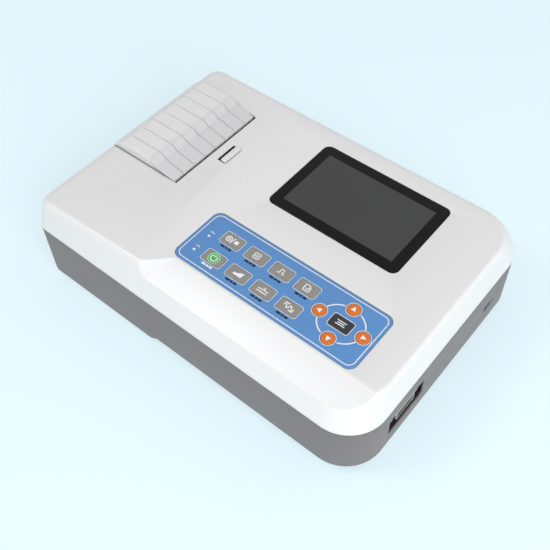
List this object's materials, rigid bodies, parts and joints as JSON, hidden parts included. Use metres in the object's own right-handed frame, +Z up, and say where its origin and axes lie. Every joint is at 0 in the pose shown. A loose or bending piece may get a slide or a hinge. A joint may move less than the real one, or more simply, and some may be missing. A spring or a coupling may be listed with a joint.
{
  "type": "ecg machine",
  "caption": "Desktop ECG recorder with a display, a membrane keypad, a ribbed paper door over a thermal printer, and a patient lead socket.",
  "frame": {"origin": "under the middle of the case, on the plane that the feet stand on", "axes": "+X along the long side to the user's right, +Y to the back, +Z up"},
  "size_m": [0.338, 0.2426, 0.0955],
  "materials": {
    "white_abs": "fine textured moulding",
    "grey_abs": "fine textured moulding",
    "black_gloss": "polished",
    "panel_grey": "display panel",
    "blue_film": "printed film",
    "key_grey": "printed film over a dome",
    "key_orange": "printed film over a dome",
    "key_dark": "printed film over a dome",
    "lens_white": "clear lens",
    "steel": "plated",
    "aluminium": "extruded",
    "ceramic": "glazed substrate",
    "rubber": "moulded",
    "acetal": "moulded",
    "paper": "thermal paper",
    "board_green": "solder mask",
    "black_pbt": "moulded",
    "battery_blue": "shrink sleeve"
  },
  "bodies": {
    "root": {"battery_hatch": "grey_abs", "battery_pack": "battery_blue", "bottom_shell": "grey_abs", "display_window": "black_gloss", "door_hinge_pin": "steel", "earth_terminal": "steel", "foot_back_left": "rubber", "foot_back_right": "rubber", "foot_front_left": "rubber", "foot_front_right": "rubber", "head_bracket": "steel", "head_heatsink": "aluminium", "head_spring_back": "steel", "head_spring_front": "steel", "idler_axle": "steel", "jack_post_back": "steel", "jack_post_front": "steel", "keypad_board": "board_green", "keypad_mat": "rubber", "keypad_overlay": "blue_film", "lcd_panel": "panel_grey", "lead_connector_insert": "black_pbt", "lead_connector_shell": "steel", "light_battery": "lens_white", "light_mains": "lens_white", "main_board": "board_green", "mains_inlet": "black_pbt", "power_board": "board_green", "power_switch_body": "black_pbt", "print_head": "ceramic", "printer_chassis": "black_pbt", "speaker": "black_pbt", "stepper_motor": "steel", "top_shell": "white_abs", "usb_port": "steel"},
    "paper_door": {"paper_door": "white_abs"},
    "platen": {"platen_shaft": "steel", "platen_roller": "rubber", "platen_gear": "acetal"},
    "idler": {"idler_gear": "acetal"},
    "pinion": {"motor_pinion": "acetal"},
    "latch": {"latch_button": "white_abs", "latch_bar": "acetal"},
    "paper": {"paper_roll": "paper", "paper_spindle": "acetal"},
    "rocker": {"power_switch_rocker": "black_gloss"},
    "key_calibrate": {"key_calibrate": "key_grey"},
    "key_centre": {"key_centre": "key_dark"},
    "key_down": {"key_down": "key_orange"},
    "key_filter": {"key_filter": "key_grey"},
    "key_home": {"key_home": "key_grey"},
    "key_lead": {"key_lead": "key_grey"},
    "key_left": {"key_left": "key_orange"},
    "key_mode": {"key_mode": "key_grey"},
    "key_power": {"key_power": "key_grey"},
    "key_record": {"key_record": "key_grey"},
    "key_right": {"key_right": "key_orange"},
    "key_start_stop": {"key_start_stop": "key_grey"},
    "key_up": {"key_up": "key_orange"}
  },
  "joints": [
    {"name": "paper_door_hinge", "type": "hinge", "parent": "root", "child": "paper_door", "pos_m": [-0.1615, 0, 0.077], "axis": [0, -1, 0], "range_deg": [0, 75]},
    {"name": "platen_spin", "type": "hinge", "parent": "paper_door", "child": "platen", "pos_m": [-0.0987, 0, 0.074], "axis": [0, 1, 0], "continuous": true},
    {"name": "idler_spin", "type": "hinge", "parent": "root", "child": "idler", "pos_m": [-0.09942, 0, 0.05902], "axis": [0, 1, 0], "continuous": true},
    {"name": "pinion_spin", "type": "hinge", "parent": "root", "child": "pinion", "pos_m": [-0.08909, 0, 0.05179], "axis": [0, 1, 0], "continuous": true},
    {"name": "paper_roll_spin", "type": "hinge", "parent": "root", "child": "paper", "pos_m": [-0.136, 0, 0.048], "axis": [0, 1, 0], "continuous": true},
    {"name": "latch_slide", "type": "slide", "parent": "root", "child": "latch", "axis": [1, 0, 0], "range_m": [0, 0.003], "stiffness_N_per_m": 800, "springref_m": -0.001},
    {"name": "power_switch_rock", "type": "hinge", "parent": "root", "child": "rocker", "pos_m": [-0.066, 0.11925, 0.032], "axis": [0, 0, 1], "range_deg": [0, 14]},
    {"name": "key_calibrate_press", "type": "slide", "parent": "root", "child": "key_calibrate", "axis": [0, 0, -1], "range_m": [0, 0.0005], "stiffness_N_per_m": 3000, "springref_m": -0.0002},
    {"name": "key_centre_press", "type": "slide", "parent": "root", "child": "key_centre", "axis": [0, 0, -1], "range_m": [0, 0.0005], "stiffness_N_per_m": 3000, "springref_m": -0.0002},
    {"name": "key_down_press", "type": "slide", "parent": "root", "child": "key_down", "axis": [0, 0, -1], "range_m": [0, 0.0005], "stiffness_N_per_m": 3000, "springref_m": -0.0002},
    {"name": "key_filter_press", "type": "slide", "parent": "root", "child": "key_filter", "axis": [0, 0, -1], "range_m": [0, 0.0005], "stiffness_N_per_m": 3000, "springref_m": -0.0002},
    {"name": "key_home_press", "type": "slide", "parent": "root", "child": "key_home", "axis": [0, 0, -1], "range_m": [0, 0.0005], "stiffness_N_per_m": 3000, "springref_m": -0.0002},
    {"name": "key_lead_press", "type": "slide", "parent": "root", "child": "key_lead", "axis": [0, 0, -1], "range_m": [0, 0.0005], "stiffness_N_per_m": 3000, "springref_m": -0.0002},
    {"name": "key_left_press", "type": "slide", "parent": "root", "child": "key_left", "axis": [0, 0, -1], "range_m": [0, 0.0005], "stiffness_N_per_m": 3000, "springref_m": -0.0002},
    {"name": "key_mode_press", "type": "slide", "parent": "root", "child": "key_mode", "axis": [0, 0, -1], "range_m": [0, 0.0005], "stiffness_N_per_m": 3000, "springref_m": -0.0002},
    {"name": "key_power_press", "type": "slide", "parent": "root", "child": "key_power", "axis": [0, 0, -1], "range_m": [0, 0.0005], "stiffness_N_per_m": 3000, "springref_m": -0.0002},
    {"name": "key_record_press", "type": "slide", "parent": "root", "child": "key_record", "axis": [0, 0, -1], "range_m": [0, 0.0005], "stiffness_N_per_m": 3000, "springref_m": -0.0002},
    {"name": "key_right_press", "type": "slide", "parent": "root", "child": "key_right", "axis": [0, 0, -1], "range_m": [0, 0.0005], "stiffness_N_per_m": 3000, "springref_m": -0.0002},
    {"name": "key_start_stop_press", "type": "slide", "parent": "root", "child": "key_start_stop", "axis": [0, 0, -1], "range_m": [0, 0.0005], "stiffness_N_per_m": 3000, "springref_m": -0.0002},
    {"name": "key_up_press", "type": "slide", "parent": "root", "child": "key_up", "axis": [0, 0, -1], "range_m": [0, 0.0005], "stiffness_N_per_m": 3000, "springref_m": -0.0002}
  ],
  "couplings": [
    {"joint": "idler_spin", "follows": "platen_spin", "ratio": -0.66667},
    {"joint": "pinion_spin", "follows": "platen_spin", "ratio": 1.6667}
  ]
}
